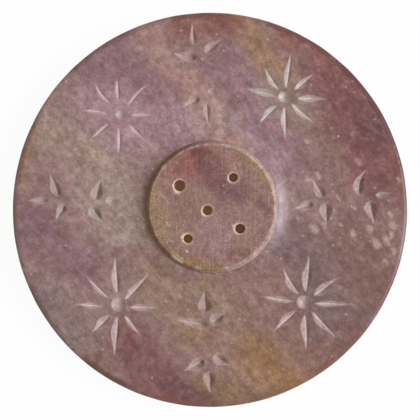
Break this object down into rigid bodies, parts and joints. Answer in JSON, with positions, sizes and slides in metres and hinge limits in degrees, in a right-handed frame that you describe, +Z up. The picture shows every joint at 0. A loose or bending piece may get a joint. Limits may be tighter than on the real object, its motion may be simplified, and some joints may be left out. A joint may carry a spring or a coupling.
{
  "type": "incense stick holder",
  "caption": "Round carved soapstone incense holder: a low plate cut with flowers and sprigs, with a raised boss drilled to hold sticks upright.",
  "frame": {"origin": "centre of the plate's underside", "axes": "+Z up, out of the stick holes; +X to the right and +Y away in the picture"},
  "size_m": [0.1, 0.1, 0.0126],
  "materials": {
    "plate_stone": "waxed, mauve and olive veins",
    "boss_stone": "waxed over saw marks, red-brown"
  },
  "bodies": {
    "root": {"carved_plate": "plate_stone", "stick_boss": "boss_stone"}
  },
  "joints": []
}
